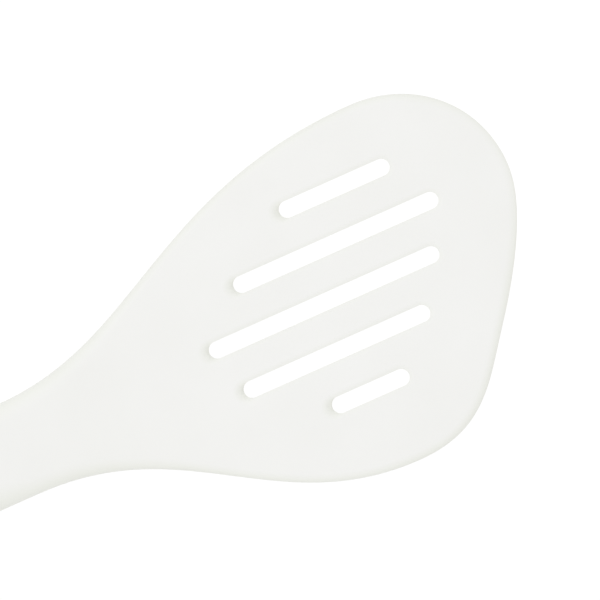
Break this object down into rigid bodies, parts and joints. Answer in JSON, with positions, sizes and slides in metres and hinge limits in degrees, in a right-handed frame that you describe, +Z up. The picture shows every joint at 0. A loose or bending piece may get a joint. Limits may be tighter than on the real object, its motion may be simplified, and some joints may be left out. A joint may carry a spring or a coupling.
{
  "type": "slotted kitchen turner",
  "caption": "White slotted kitchen turner: a silicone-skinned blade with a slanted front edge on a stiff core, spigoted and pinned into a moulded handle with a soft grip and a hang hole.",
  "frame": {"origin": "under the middle of the whole turner, on the surface that the handle lies on", "axes": "+X along the handle towards the blade, +Y across it, +Z up out of the blade's upper face"},
  "size_m": [0.3174, 0.0918, 0.0358],
  "materials": {
    "silicone": "matte off-white moulded silicone",
    "grip_silicone": "matte off-white moulded silicone with a fine texture",
    "nylon": "satin off-white moulded nylon",
    "filled_nylon": "dull glass-filled nylon",
    "steel": "ground stainless steel"
  },
  "bodies": {
    "root": {"head_skin": "silicone", "head_core": "filled_nylon", "front_pin": "steel", "rear_pin": "steel", "handle_core": "nylon", "grip_sleeve": "grip_silicone", "end_cap": "nylon", "cap_pin": "steel"}
  },
  "joints": []
}
